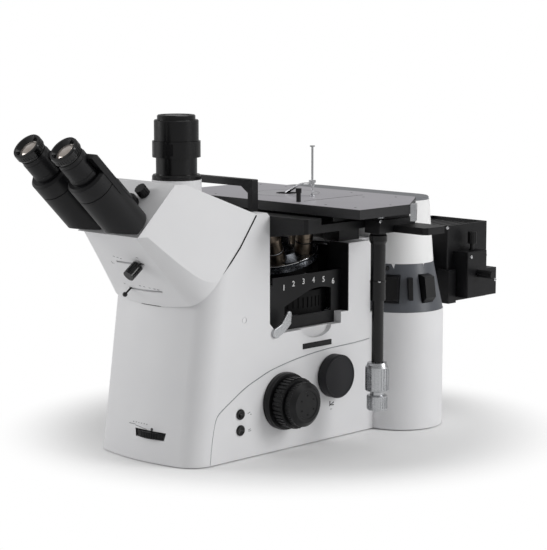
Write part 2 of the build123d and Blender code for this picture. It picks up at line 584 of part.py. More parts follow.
# binocular: hinge base, two prism housings with eyetubes, eyepieces and clamp knob
mount = Plane(origin=pivot, x_dir=(1, 0, 0), z_dir=(0, -1, 1))
with BuildPart() as hinge_base:
    round_bar(mount, 19.5, 0, 5.8)
    round_bar(mount, hinge_pin_radius, 5, 41)
    round_bar(mount, 13, 39, 42)
save("hinge_base", hinge_base)
arm_levels = {-1: (22.5, 38.6), 1: (6.2, 22.2)}
for side, name in ((1, "right_prism_housing"), (-1, "left_prism_housing")):
    eye = Plane(origin=mount.origin + mount.x_dir * (side * eye_x) + mount.y_dir * eye_y,
                x_dir=(1, 0, 0), z_dir=mount.z_dir)
    with BuildPart() as prism_housing:
        with BuildSketch(mount.offset(arm_levels[side][0])):
            with BuildLine(mode=Mode.PRIVATE) as hull_line:
                CenterArc((0, 0), 16, 0, 360)
                CenterArc((side * eye_x, eye_y), 20, 0, 360)
            make_hull(hull_line.edges())
        extrude(amount=arm_levels[side][1] - arm_levels[side][0])
        turned(eye, [(0, lobe_base), (lobe_radius - 1.5, lobe_base), (lobe_radius, lobe_base + 1.5),
                     (lobe_radius, 77.4), (lobe_radius - 0.9, 77.4), (lobe_radius - 0.9, 78.6), (lobe_radius, 78.6),
                     (lobe_radius, lobe_top - 3), (lobe_radius - 3, lobe_top), (0, lobe_top)])
        # raised back of the housing along the eyetube
        with BuildSketch(eye.offset(60)):
            Circle(lobe_radius + 0.6)
            with Locations((0, -20)):
                Rectangle(60, 56, mode=Mode.SUBTRACT)
        extrude(amount=62)
        side_cut = Plane(origin=eye.origin + eye.y_dir * 27 + eye.z_dir * 106, x_dir=(1, 0, 0),
                         z_dir=eye.y_dir * 0.8 + eye.z_dir * 0.6)
        split(bisect_by=side_cut, keep=Keep.BOTTOM)
        # sloped lower end of the housing
        low_cut = Plane(origin=eye.origin - eye.y_dir * lobe_radius + eye.z_dir * 24, x_dir=(1, 0, 0),
                        z_dir=eye.y_dir * -0.76 - eye.z_dir * 0.65)
        split(bisect_by=low_cut, keep=Keep.BOTTOM)
        turned(eye, [(0, lobe_top - 4), (eyetube_radius + 0.6, lobe_top - 4), (eyetube_radius + 0.6, lobe_top + 6),
                     (eyetube_radius, lobe_top + 7), (eyetube_radius, eyetube_top - 6),
                     (eyetube_radius - 0.7, eyetube_top - 5), (eyetube_radius - 0.7, eyetube_top), (0, eyetube_top)])
        round_bar(eye, 12, eyetube_top - 20, eyetube_top + 1, Mode.SUBTRACT)
        round_bar(mount, hinge_pin_radius + running, -1, 60, Mode.SUBTRACT)
    save(name, prism_housing)
    with BuildPart() as eyepiece:
        turned(eye, [(0, eyetube_top - 18), (12 - running, eyetube_top - 18), (12 - running, eyetube_top + clearance),
                     (16.5, eyetube_top + clearance), (16.5, 135.5), (18.4, 136.2), (19, 137.5), (19, 144.5),
                     (18.2, eyepiece_top), (15.4, eyepiece_top), (12.2, 141), (0, 141)])
        ribs_cut(eye, 19, 138, 143, 36, 1.0, 0.5)
    save(name.replace("prism_housing", "eyepiece"), eyepiece)
    with BuildPart() as eye_lens:
        turned(eye, [(0, 141.05), (12.1, 141.05), (9, 142.3), (5, 142.9), (0, 143.1)])
    save(name.replace("prism_housing", "eye_lens"), eye_lens)
with BuildPart() as clamp_knob:
    knob_plane = Plane(origin=mount.origin + mount.x_dir * 17 + mount.y_dir * 24, x_dir=(1, 0, 0), z_dir=mount.z_dir)
    round_bar(knob_plane, 7.5, 0.3, 12)
    ribs_cut(knob_plane, 7.5, 3, 13, 14, 1.2, 0.8)
save("clamp_knob", clamp_knob)

# camera tube on the head
port_axis = Plane(origin=(0, port_y, 0))
with BuildPart() as camera_tube:
    turned(port_axis, [(20, head_top), (31, head_top), (31, 355.5), (29.5, 357.5), (26, 357.5), (26, 379.2),
                       (30.5, 379.2), (30.5, 399.6), (20, 399.6)])
    ribs_cut(port_axis, 30.5, 382, 397, 6, 10, 0.5)
save("camera_tube", camera_tube)
with BuildPart() as camera_adapter:
    turned(port_axis, [(19, 399.9), (28.2, 399.9), (28.2, 425), (27.2, 426.2), (19, 426.2)])
save("camera_adapter", camera_adapter)
with BuildPart() as port_cap:
    turned(port_axis, [(0, 420), (18.8, 420), (18.8, 426.3), (24.2, 426.3), (24.2, 431), (23, 432.4), (21, 432.4),
                       (20, 431.6), (0, 431.6)])
save("port_cap", port_cap)

# stage: fixed support, front-to-back carriage, top plate with insert
with BuildPart() as stage_support:
    front_shape([(-support_half, support_wing), (-body_half, support_bottom), (body_half, support_bottom),
                 (support_half, support_wing), (support_half, support_top), (-support_half, support_top)],
                rear_wall_y, column_rear_y)
    block((-support_half, support_half), (column_rear_y, -100), (support_top, 305.5))
    block((-neck_half, neck_half), (bay_rear_y + 4, rear_wall_y), (rear_wall_top, support_bottom))
    chamfer(stage_support.edges().filter_by(Axis.Z).group_by(Axis.Y)[0], 4)
    round_bar(Plane(origin=(0, optical_y - 38, 0)), 62.5, 255, 310, Mode.SUBTRACT)
save("stage_support", stage_support)
carriage_front, carriage_back = -72.0, 80.0
sweep_half, rail_width = 60.0, 14.0
with BuildPart() as stage_carriage:
    block((-carriage_half, carriage_half), (carriage_front, carriage_back), (support_top + clearance, carriage_top))
    # opening that clears the turning objectives over the whole travel
    with BuildSketch(Plane.XY.offset(support_top)):
        with Locations((0, (carriage_front + carriage_back) / 2 + 4)):
            RectangleRounded(2 * sweep_half, carriage_back - carriage_front - 2 * rail_width, 24)
    extrude(amount=20, mode=Mode.SUBTRACT)
save("stage_carriage", stage_carriage)
with BuildPart() as stage_top_plate:
    with BuildSketch(Plane.XY.offset(plate_bottom)):
        Polygon((plate_left, plate_front), (plate_right, plate_front), (plate_right, 1.7), (168, 66.7),
                (156, plate_back), (plate_left, plate_back), align=None)
    extrude(amount=plate_top - plate_bottom)
    chamfer(stage_top_plate.faces().sort_by(Axis.Z)[-1].edges(), 0.8)
    round_bar(Plane.XY, insert_radius + 0.2, plate_top - 3.2, plate_top + 1, Mode.SUBTRACT)
    round_bar(Plane.XY, insert_radius - 4, 300, 330, Mode.SUBTRACT)
    block((89.6, 91.6), (-63, 50), (plate_top - 1, plate_top + 1), Mode.SUBTRACT)
    with BuildSketch(Plane.XY.offset(plate_top)):
        with Locations((-110, -75), (-60, -75), (140, -75), (190, -75), (-110, 60), (-60, 60), (140, 60), (200, -20),
                       (110, 30), (60, 62)):
            Circle(1.8)
    extrude(amount=-4, mode=Mode.SUBTRACT)
save("stage_top_plate", stage_top_plate)
with BuildPart() as stage_insert:
    turned(Plane.XY, [(insert_hole, plate_top - 3), (insert_radius, plate_top - 3), (insert_radius, plate_top),
                      (insert_hole + 5, plate_top), (insert_hole, plate_top - 1.5)])
save("stage_insert", stage_insert)
edge_direction = Vector(168 - plate_right, 66.7 - 1.7, 0).normalized()
edge_outward = Vector(edge_direction.Y, -edge_direction.X, 0)
with BuildPart() as stage_end_bracket:
    bracket_plane = Plane(origin=Vector(plate_right, 1.7, 298), x_dir=edge_direction, z_dir=(0, 0, 1))
    with BuildSketch(bracket_plane):
        with Locations((11, -3.5)):
            Rectangle(20, 7 - 0.2)
    extrude(amount=plate_top - 298.5)
    with Locations(Plane(origin=Vector(plate_right, 1.7, 309) + edge_direction * 10, z_dir=edge_outward)):
        Hole(4, depth=40)
save("stage_end_bracket", stage_end_bracket)
with BuildPart() as stage_post:
    post_plane = Plane(origin=(91.8, -74, 0))
    turned(post_plane, [(0, plate_top), (3, plate_top), (3, 331), (3.8, 331), (3.8, 337), (0, 337)])
save("stage_post", stage_post)
clip_x, clip_y = 58.0, -12.5
with BuildPart() as clip_post:
    clip_plane = Plane(origin=(clip_x, clip_y, 0))
    turned(clip_plane, [(0, plate_top), (3.4, plate_top), (3.4, plate_top + 3), (1.4, plate_top + 4), (1.4, 385),
                        (3.3, 385), (3.3, 386.5), (0, 386.5)])
save("clip_post", clip_post)
with BuildPart() as specimen_clip:
    turned(clip_plane, [(1.4 + running, 333), (3, 333), (3, 338), (4.6, 338), (4.6, 341), (1.4 + running, 341)])
    with BuildSketch(Plane(origin=(clip_x, clip_y, 0), x_dir=(-cos(radians(8)), sin(radians(8)), 0),
                           z_dir=(sin(radians(8)), cos(radians(8)), 0)).offset(-3)):
        with BuildLine():
            upper_curve = Spline((2.5, 336.5), (20, 336), (40, 328), (54, 321.6))
            lower_curve = Spline((2.5, 335.3), (20, 334.8), (40, 326.8), (54, 320.4))
            Line(upper_curve @ 0, lower_curve @ 0)
            Line(upper_curve @ 1, lower_curve @ 1)
        make_face()
    extrude(amount=6)
    round_bar(clip_plane, 1.4 + running, 300, 360, Mode.SUBTRACT)
save("specimen_clip", specimen_clip)

# coaxial stage drive hanging from the carriage
with BuildPart() as drive_arm:
    block((carriage_half, drive_x + 5), (-20, 50), (support_top + 0.6, carriage_top - 0.2))
    block((support_half + 1, drive_x + 15), (-20, 50), (drive_tube_top, support_top + 0.6))
    block((support_half + 1, drive_x + 68), (8, 50), (drive_tube_top, 290))
    drive_axis = Plane(origin=(drive_x, drive_y, 0))
    round_bar(drive_axis, y_sleeve_radius + running, 270, 310, Mode.SUBTRACT)
    round_bar(drive_axis, 10.6, 284, 295, Mode.SUBTRACT)
    round_bar(drive_axis, 9, 298.5, 310, Mode.SUBTRACT)
    chamfer(drive_arm.edges().filter_by(Axis.Z).group_by(Axis.X)[-1], 5)
save("drive_arm", drive_arm)
with BuildPart() as drive_tube:
    turned(drive_axis, [(y_sleeve_radius + running, 112.4), (7.65, 112.4), (7.65, 193), (10, 193), (10, 216), (10.4, 216),
                        (10.4, 218.5), (9.6, 219), (9.6, 266), (11.5, 270), (11.5, 277), (10, 279),
                        (10, drive_tube_top), (y_sleeve_radius + running, drive_tube_top)])
save("drive_tube", drive_tube)
with BuildPart() as stage_y_knob:
    turned(drive_axis, [(0, 75), (14.5, 75), (15.5, 76), (15.5, 106), (13.5, 109), (12.5, 112), (y_sleeve_radius, 112),
                        (y_sleeve_radius, 284.4), (9.9, 284.4), (9.9, 294.6), (0, 294.6)])
    ribs_cut(drive_axis, 15.5, 76.5, 105, 24, 1.8, 1.0)
    ribs_cut(drive_axis, 9.9, 284, 295, 24, 1.2, 1.0)
    round_bar(drive_axis, x_shaft_radius + running, 0, 400, Mode.SUBTRACT)
save("stage_y_knob", stage_y_knob)
with BuildPart() as stage_x_knob:
    turned(drive_axis, [(0, 50), (12.7, 50), (13.5, 51), (13.5, 68), (12.5, 69), (9, 69), (9, 74.6), (x_shaft_radius, 74.6),
                        (x_shaft_radius, 299), (8, 299), (8, 306.4), (0, 306.4)])
    ribs_cut(drive_axis, 13.5, 52, 67, 24, 1.6, 0.9)
    ribs_cut(drive_axis, 8, 298.9, 307, 20, 1.2, 1.0)
save("stage_x_knob", stage_x_knob)

# power inlet with the main switch in one frame, on the back of the body
with BuildPart() as power_inlet:
    block((inlet_x[0] + 0.1, inlet_x[1] - 0.1), (back_y - 20, back_y), (inlet_z[0] + 0.1, inlet_z[1] - 0.1))
    block((switch_x[0] + 0.1, switch_x[1] - 0.1), (back_y - 16, back_y), (inlet_z[0] + 0.1, inlet_z[1] - 0.1))
    block((switch_x[0] - 2, inlet_x[1] + 2), (back_y, back_y + 2), (inlet_z[0] - 2, inlet_z[1] + 2))
    block((inlet_x[0] + 3, inlet_x[1] - 3), (back_y - 16, back_y + 3), (inlet_z[0] + 3, inlet_z[1] - 3), Mode.SUBTRACT)
    block((switch_x[0] + 3, switch_x[1] - 3), (back_y - 12, back_y + 3), (inlet_z[0] + 2, inlet_z[1] - 2), Mode.SUBTRACT)
    for x, z in ((-48, 38), (-41, 44), (-34, 38)):
        block((x - 1, x + 1), (back_y - 17, back_y - 3), (z - 2.5, z + 2.5))
save("power_inlet", power_inlet)
switch_middle_z = sum(inlet_z) / 2
with BuildPart() as switch_rocker:
    with BuildSketch(side_plane(switch_x[0] + 3.4)):
        Polygon((back_y - 7, switch_middle_z - 7.5), (back_y + 1, switch_middle_z - 8), (back_y + 1.8, switch_middle_z),
                (back_y + 4, switch_middle_z + 8), (back_y - 7, switch_middle_z + 7.5), align=None)
    extrude(amount=switch_x[1] - switch_x[0] - 6.8)
save("switch_rocker", switch_rocker)
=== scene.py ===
"""Looks of the inverted microscope: finishes, small fittings, floor, lights and camera."""
import math

import bmesh
import bpy
from mathutils import Matrix, Vector
from mathutils.bvhtree import BVHTree


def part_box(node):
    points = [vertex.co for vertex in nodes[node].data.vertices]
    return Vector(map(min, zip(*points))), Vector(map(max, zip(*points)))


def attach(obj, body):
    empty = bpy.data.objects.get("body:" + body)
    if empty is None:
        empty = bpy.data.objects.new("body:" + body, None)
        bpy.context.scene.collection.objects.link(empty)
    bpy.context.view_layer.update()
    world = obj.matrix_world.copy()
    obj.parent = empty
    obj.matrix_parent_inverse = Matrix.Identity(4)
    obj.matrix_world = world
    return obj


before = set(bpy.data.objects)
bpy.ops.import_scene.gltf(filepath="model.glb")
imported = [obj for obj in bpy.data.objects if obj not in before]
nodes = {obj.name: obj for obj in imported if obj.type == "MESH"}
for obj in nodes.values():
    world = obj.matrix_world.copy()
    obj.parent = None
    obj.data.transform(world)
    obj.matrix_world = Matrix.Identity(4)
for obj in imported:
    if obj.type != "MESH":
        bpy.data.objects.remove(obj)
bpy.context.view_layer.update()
MM = 0.001

# places are in millimetres from the floor under the stage's centre,
# and the frame's feet say where that point lies
FOOT_FRONT = 0.218
feet_low, feet_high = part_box("rubber_feet")
SHIFT = Vector(((feet_low[0] + feet_high[0]) / 2, feet_low[1] + FOOT_FRONT, 0.0))


def spot(x, y, z):
    """A place in millimetres as a point of the shared frame."""
    return Vector((x * MM, y * MM, z * MM)) + SHIFT


def srgb(hex_colour):
    """Turns a hex colour as it is seen into the linear values that shaders take."""
    values = []
    for start in (0, 2, 4):
        value = int(hex_colour[start:start + 2], 16) / 255
        values.append(value / 12.92 if value <= 0.04045 else ((value + 0.055) / 1.055) ** 2.4)
    return (*values, 1.0)


def add_node(tree, kind, settings=None, links=None, attributes=None):
    """Adds one shader node, sets its sockets and attributes, and links sockets from other nodes."""
    node = tree.nodes.new(kind)
    for name, value in (attributes or {}).items():
        setattr(node, name, value)
    for name, value in (settings or {}).items():
        node.inputs[name].default_value = value
    for name, source in (links or {}).items():
        tree.links.new(source, node.inputs[name])
    return node


def start_material(name, shader_settings):
    """A material with its shader and output, and the coordinates that its patterns read."""
    material = bpy.data.materials.new(name)
    material.use_nodes = True
    tree = material.node_tree
    tree.nodes.clear()
    shader = add_node(tree, "ShaderNodeBsdfPrincipled", shader_settings)
    output = add_node(tree, "ShaderNodeOutputMaterial", links={"Surface": shader.outputs["BSDF"]})
    coordinates = add_node(tree, "ShaderNodeTexCoord")
    return material, tree, shader, output, coordinates


def noise(tree, cycles_per_metre, detail, vector):
    settings = {"Scale": cycles_per_metre, "Detail": detail}
    return add_node(tree, "ShaderNodeTexNoise", settings, {"Vector": vector}).outputs["Fac"]


def spread(tree, pattern, low, high):
    """Maps a pattern's 0 to 1 onto two values or two colours."""
    ramp = add_node(tree, "ShaderNodeValToRGB", links={"Fac": pattern})
    for stop, value in zip(ramp.color_ramp.elements, (low, high)):
        stop.color = value if isinstance(value, tuple) else (value, value, value, 1)
    return ramp.outputs["Color"]


def roughen(tree, shader, pattern, middle, change):
    tree.links.new(spread(tree, pattern, middle - change, middle + change), shader.inputs["Roughness"])


def emboss(tree, shader, pattern, strength, depth_mm):
    """Lets a pattern tilt the surface, so that it breaks up the highlights."""
    settings = {"Strength": strength, "Distance": depth_mm * MM}
    skin = add_node(tree, "ShaderNodeBump", settings, {"Height": pattern})
    tree.links.new(skin.outputs["Normal"], shader.inputs["Normal"])


def over(tree, value, limit):
    """One where a value is over a limit, else zero."""
    return add_node(tree, "ShaderNodeMath", {1: limit}, {0: value},
                    {"operation": "GREATER_THAN"}).outputs[0]


def times(tree, first, second):
    return add_node(tree, "ShaderNodeMath", links={0: first, 1: second},
                    attributes={"operation": "MULTIPLY"}).outputs[0]


def blend(tree, amount, low, high):
    return add_node(tree, "ShaderNodeMix", links={0: amount, 6: low, 7: high},
                    attributes={"data_type": "RGBA"}).outputs[2]


# patterns in cycles per metre; grain, grit and tool lines are drawn coarser than the real ones,
# which would be too fine to show at the camera's distance
PAINT_CLOUDS, PLATE_CLOUDS, METAL_STAINS, GLASS_GLEAM_AND_SMEARS = 14.0, 16.0, 30.0, 90.0
PAINT_UNEVENNESS, METAL_UNEVENNESS = 0.08, 0.07
LINE_STRETCH = 0.05
PLATE_GRIT_MM = 0.6
PLATE_ROUGHNESS, PLATE_UNEVENNESS = 0.42, 0.08
TOP_FACING = 0.75


def textured_paint(name, colour, shade, grain_mm, roughness, bump=0.05, gleam=0.5):
    """Paint, moulded plastic, rubber or ink: a fine pebbled skin breaks up the highlight over cloudy shade."""
    material, tree, shader, _, place = start_material(name, {"Specular IOR Level": gleam})
    pebbles = noise(tree, 1 / (grain_mm * MM), 3.0, place.outputs["Object"])
    clouds = noise(tree, PAINT_CLOUDS, 2.0, place.outputs["Object"])
    tree.links.new(spread(tree, clouds, srgb(shade), srgb(colour)), shader.inputs["Base Color"])
    roughen(tree, shader, pebbles, roughness, PAINT_UNEVENNESS)
    emboss(tree, shader, pebbles, bump, 0.2)
    return material


def turned_metal(name, colour, shade, line_mm, roughness, metallic=1.0, bump=0.04, gleam=0.5):
    """Turned metal or acetal: fine parallel tool lines stretch the highlight across them."""
    surface = {"Metallic": metallic, "Specular IOR Level": gleam}
    material, tree, shader, _, place = start_material(name, surface)
    stretch = {"Scale": (LINE_STRETCH, LINE_STRETCH, 1)}
    mapped = add_node(tree, "ShaderNodeMapping", stretch, {"Vector": place.outputs["Object"]})
    lines = noise(tree, 1 / (line_mm * MM), 2.0, mapped.outputs["Vector"])
    stains = noise(tree, METAL_STAINS, 3.0, place.outputs["Object"])
    tree.links.new(spread(tree, stains, srgb(shade), srgb(colour)), shader.inputs["Base Color"])
    roughen(tree, shader, lines, roughness, METAL_UNEVENNESS)
    emboss(tree, shader, lines, bump, 0.1)
    return material


def coated_glass(name, tint, edge):
    """Coated glass over a dark tube: a mirror-like gleam, duller towards its smears, over a painted reflection
    in patches from the tint to the pale edge colour.
    """
    coat = {"Metallic": 0.6, "Coat Weight": 1.0, "Coat Roughness": 0.03}
    material, tree, shader, _, place = start_material(name, coat)
    gleam_and_smears = noise(tree, GLASS_GLEAM_AND_SMEARS, 2.0, place.outputs["Object"])
    tree.links.new(spread(tree, gleam_and_smears, srgb(tint), srgb(edge)), shader.inputs["Base Color"])
    roughen(tree, shader, gleam_and_smears, 0.10, 0.06)
    return material


def two_finish_plate(name, top_colour, top_shade, side_colour, side_shade, top_height):
    """Blasted and anodised plate: pale satin top with fine grit, black machined edges and underside."""
    material, tree, shader, _, place = start_material(name, {"Metallic": 0.15})
    position = add_node(tree, "ShaderNodeSeparateXYZ", links={0: place.outputs["Object"]})
    facing = add_node(tree, "ShaderNodeSeparateXYZ", links={0: place.outputs["Normal"]})
    is_top = times(tree, over(tree, position.outputs["Z"], top_height * MM),
                   over(tree, facing.outputs["Z"], TOP_FACING))
    grit = noise(tree, 1 / (PLATE_GRIT_MM * MM), 3.0, place.outputs["Object"])
    clouds = noise(tree, PLATE_CLOUDS, 3.0, place.outputs["Object"])
    top = spread(tree, clouds, srgb(top_shade), srgb(top_colour))
    side = spread(tree, grit, srgb(side_shade), srgb(side_colour))
    tree.links.new(blend(tree, is_top, side, top), shader.inputs["Base Color"])
    roughen(tree, shader, grit, PLATE_ROUGHNESS, PLATE_UNEVENNESS)
    emboss(tree, shader, grit, 0.06, 0.2)
    return material


STAGE_TOP = 319.5

# powder paint on castings: dull and even, with a soft highlight
body_paint = textured_paint("powder_paint_light_grey", "e3e3e4", "dcdcde", 0.9, 0.48)
column_paint = textured_paint("powder_paint_column", "eeeeee", "e8e8e8", 0.9, 0.45)
top_paint = textured_paint("satin_paint_mid_grey", "77797d", "696b6f", 0.8, 0.42)
# satin paint: smoother, so the round band and the castings show a narrow sheen
band_paint = textured_paint("satin_paint_dark_grey", "585b61", "494c51", 0.8, 0.34)
black_paint = textured_paint("satin_paint_black", "131315", "0c0c0e", 0.7, 0.40, gleam=0.28)
# flat black inside the bay: swallows light, so that the mechanism stays dark
matt_black = textured_paint("matt_paint_black", "0d0d0e", "080809", 0.7, 0.65, gleam=0.2)
# black anodised or polished turned parts: dark, with a thin bright line along each round
black_anodised = turned_metal("anodised_aluminium_black", "0d0d0f", "070708", 0.25, 0.24, metallic=0.0,
                              gleam=0.38)
gloss_black = turned_metal("polished_acetal_black", "0c0c0d", "070708", 0.3, 0.15, metallic=0.0, gleam=0.45)
# stage: grey satin on top, black on its machined edges, and a paler blasted insert
stage_finish = two_finish_plate("anodised_stage_plate", "b4b2b7", "a6a4aa", "18181b", "0e0e10",
                                STAGE_TOP - 0.9)
insert_metal = turned_metal("blasted_aluminium_insert", "c4c3c7", "b2b1b6", 0.5, 0.38, metallic=0.5)
# bare metal: tool lines on aluminium, a mirror-like skin on chrome, a warm dull one on nickel
bare_aluminium = turned_metal("turned_aluminium", "c9cacc", "aeb0b3", 0.3, 0.28)
chrome = turned_metal("polished_chrome", "dadbdd", "c8c9cb", 0.2, 0.14, bump=0.01)
nickel = turned_metal("satin_nickel", "8d8072", "5e554b", 0.3, 0.30)
turret_metal = turned_metal("satin_chrome_turret", "b9bdc4", "8d9198", 0.3, 0.26)
screw_steel = turned_metal("bright_screw_steel", "e6e6e8", "cfd0d2", 0.2, 0.22, bump=0.01)
# moulded plastic and rubber: even black with a broad, weak sheen
black_plastic = textured_paint("moulded_abs_black", "101012", "0a0a0b", 0.9, 0.38, gleam=0.3)
soft_plastic = textured_paint("moulded_abs_soft_black", "1f1f23", "17171a", 0.6, 0.5, gleam=0.3)
rubber = textured_paint("moulded_rubber_black", "161616", "0f0f0f", 0.5, 0.8)
# printing ink, and painted shade for gaps, slots and grooves: flat, with hardly any gleam
white_print = textured_paint("printed_white_ink", "f4f4f4", "e4e4e4", 0.4, 0.5)
grey_print = textured_paint("printed_grey_ink", "7f8082", "6e6f72", 0.4, 0.5)
dark_print = textured_paint("printed_black_ink", "2a2a2c", "1e1e20", 0.4, 0.5)
# painted shade: black in the head seam, the stage insert's gap and hole and the screw slots, grey in the side
# grooves
painted_black_shade = textured_paint("painted_gap_shade_black", "0c0c0c", "080808", 0.5, 0.7, gleam=0.1)
groove_shade = textured_paint("painted_groove_shade_grey", "9a9fa1", "8a8f91", 0.6, 0.6)
# coated glass: painted reflection, warm to near white on the eye lenses and pale grey to white on the lamp's
# clear bulb
glass = coated_glass("coated_lens_glass", "8a7666", "f2ece6")
bulb_glass = coated_glass("lamp_bulb_glass", "c8c8c8", "f4f4f4")

finishes = {
    body_paint: ["body_housing", "head_cover"],
    column_paint: ["column_upper"],
    band_paint: ["column_band"],
    top_paint: ["column_top_cover"],
    black_paint: ["carry_handle", "lamp_house", "lamp_adjuster", "lamp_adapter", "number_plate",
                  "left_prism_housing", "right_prism_housing", "hinge_base", "drive_arm", "stage_support"],
    matt_black: ["bay_lining", "nosepiece_slide", "cube_turret"],
    black_anodised: ["stage_carriage", "drive_tube", "camera_tube", "camera_adapter", "stage_post"],
    stage_finish: ["stage_top_plate"],
    insert_metal: ["stage_insert"],
    bare_aluminium: ["stage_end_bracket", "stage_y_knob", "stage_x_knob", "selector_lever", "base_plate"],
    chrome: ["clip_post", "specimen_clip"],
    nickel: ["high_objectives", "low_objectives"],
    turret_metal: ["nosepiece_turret"],
    gloss_black: ["left_eyepiece", "right_eyepiece", "port_cap", "beam_knob", "clamp_knob", "beam_lever",
                  "upper_button", "lower_button"],
    black_plastic: ["coarse_focus", "fine_focus", "focus_rings", "light_wheel", "lamp_height_knob",
                    "lamp_side_knob", "aperture_slider", "field_slider", "filter_tab", "analyser_slider",
                    "power_inlet", "switch_rocker"],
    soft_plastic: ["side_port_cover"],
    glass: ["left_eye_lens", "right_eye_lens"],
    bulb_glass: ["halogen_lamp"],
    rubber: ["rubber_feet"],
}
for finish, members in finishes.items():
    for member in members:
        nodes[member].data.materials.clear()
        nodes[member].data.materials.append(finish)

# camera where the photograph was taken, solved from the photograph's straight edges and circles
PICTURE_WIDTH, PICTURE_HEIGHT = 547, 550
SENSOR, LENS = 36.0, 124.9
CAMERA_PLACE = Vector((1.75674, -1.82058, 0.570))
CAMERA_DOWN, CAMERA_ROUND = 8.135, 44.39
camera_data = bpy.data.cameras.new("photo_camera")
camera_data.sensor_fit = "HORIZONTAL"
camera_data.sensor_width = SENSOR
camera_data.lens = LENS
camera_data.clip_end = 50.0
camera = bpy.data.objects.new("photo_camera", camera_data)
camera.location = CAMERA_PLACE + SHIFT
camera.rotation_euler = (math.radians(90 - CAMERA_DOWN), 0.0, math.radians(CAMERA_ROUND))
bpy.context.scene.collection.objects.link(camera)
bpy.context.scene.camera = camera
bpy.context.scene.view_settings.view_transform = "Standard"

surfaces = {}


def node_surface(node):
    """A CAD node's surface, ready to be met by straight lines."""
    if node not in surfaces:
        mesh = nodes[node].data
        surfaces[node] = BVHTree.FromPolygons([vertex.co for vertex in mesh.vertices],
                                              [tuple(polygon.vertices) for polygon in mesh.polygons])
    return surfaces[node]


def hit(node, start, direction):
    """Where a straight line first meets a node's surface, and the surface's direction there."""
    point, normal, _, _ = node_surface(node).ray_cast(start, direction)
    if point is None:
        raise ValueError("no surface of " + node + " on this line")
    if normal.dot(direction) > 0:
        normal = -normal
    return point, normal


def seen(node, pixel):
    """The point of a node that the photograph shows at a pixel, counted across and down."""
    across, down = pixel
    right = (across - PICTURE_WIDTH / 2) / PICTURE_WIDTH * SENSOR / LENS
    up = -(down - PICTURE_HEIGHT / 2) / PICTURE_WIDTH * SENSOR / LENS
    direction = (camera.rotation_euler.to_matrix() @ Vector((right, up, -1))).normalized()
    return hit(node, camera.location.copy(), direction)


def upright(point, normal):
    """Frame on a surface: Z along its normal, Y as far up as the surface goes."""
    side = Vector((0, 0, 1)).cross(normal).normalized()
    top = normal.cross(side).normalized()
    matrix = Matrix((side, top, normal)).transposed().to_4x4()
    matrix.translation = point
    return matrix


def add_piece(name, data, finish, body, matrix=None):
    """Puts a mesh, curve or text into the scene with its finish, and lets it ride on a body."""
    data.materials.append(finish)
    piece = bpy.data.objects.new(name, data)
    if matrix is not None:
        piece.matrix_world = matrix
    bpy.context.scene.collection.objects.link(piece)
    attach(piece, body)


def finish_piece(name, builder, finish, body, smooth=False):
    bmesh.ops.recalc_face_normals(builder, faces=builder.faces)
    mesh = bpy.data.meshes.new(name)
    builder.to_mesh(mesh)
    builder.free()
    for polygon in mesh.polygons:
        polygon.use_smooth = smooth
    add_piece(name, mesh, finish, body)


def walls(builder, low, high):
    """Side faces between two loops of as many corners."""
    for index in range(len(low)):
        following = (index + 1) % len(low)
        builder.faces.new((low[index], low[following], high[following], high[index]))


def turned_mesh(place, profile, steps, closed):
    """Turns (radius, height) pairs in millimetres about a frame's Z axis: a closed ring or a capped solid."""
    builder = bmesh.new()
    rings = []
    for radius, height in profile:
        ring = []
        for step in range(steps):
            turn = math.tau * step / steps
            corner = Vector((radius * MM * math.cos(turn), radius * MM * math.sin(turn), height * MM))
            ring.append(builder.verts.new(place @ corner))
        rings.append(ring)
    for low, high in zip(rings, rings[1:] + rings[:1] if closed else rings[1:]):
        walls(builder, low, high)
    if not closed:
        builder.faces.new(rings[0][::-1])
        builder.faces.new(rings[-1])
    return builder


def lathe(name, place, profile, finish, body, steps=32):
    finish_piece(name, turned_mesh(place, profile, steps, closed=False), finish, body)


def ring_piece(name, place, profile, finish, body, steps=48):
    finish_piece(name, turned_mesh(place, profile, steps, closed=True), finish, body, smooth=True)


def square_profile(inner, outer, low, high):
    return [(inner, low), (outer, low), (outer, high), (inner, high)]


PRINT_DEPTH = 0.12


def printed(name, place, outlines, finish, body, depth=PRINT_DEPTH):
    """Thin raised plates: flat outlines in millimetres on the frame's XY, as deep on either side of it."""
    builder = bmesh.new()
    for outline in outlines:
        low = [builder.verts.new(place @ Vector((x * MM, y * MM, -depth * MM))) for x, y in outline]
        high = [builder.verts.new(place @ Vector((x * MM, y * MM, depth * MM))) for x, y in outline]
        builder.faces.new(low[::-1])
        builder.faces.new(high)
        walls(builder, low, high)
    finish_piece(name, builder, finish, body)


def bar(x, y, width, height, lean=0.0):
    """Outline of a bar round a middle, its ends moved up or down by the lean."""
    rise = lean * width / 2
    return [(x - width / 2, y - height / 2 - rise), (x + width / 2, y - height / 2 + rise),
            (x + width / 2, y + height / 2 + rise), (x - width / 2, y + height / 2 - rise)]


def disc(x, y, radius, steps=20):
    return [(x + radius * math.cos(math.tau * step / steps), y + radius * math.sin(math.tau * step / steps))
            for step in range(steps)]


def tube(name, points, radius_mm, finish, body):
    """Thin round bead along points, for painted shade in seams and grooves."""
    curve = bpy.data.curves.new(name, "CURVE")
    curve.dimensions = "3D"
    curve.bevel_depth = radius_mm * MM
    curve.bevel_resolution = 2
    curve.use_fill_caps = True
    spline = curve.splines.new("POLY")
    spline.points.add(len(points) - 1)
    for target, point in zip(spline.points, points):
        target.co = (*point, 1.0)
    add_piece(name, curve, finish, body)


# painted shade in the seam between the head and the lower body: a black bead that falls from the back
# towards the operator: (distance along Y, height) pairs
seam = [(-150, 311), (-180, 270.6), (-215, 233.5), (-233, 211), (-246, 195)]
SEAM_LIP, SEAM_STANDOFF, SEAM_BEAD = 0.8, 0.5, 0.8
SIDE_START, FRONT_START = 200, -400
SETTLING_ROUNDS = 8
lowest_seam = seam[-1][1] + SEAM_LIP


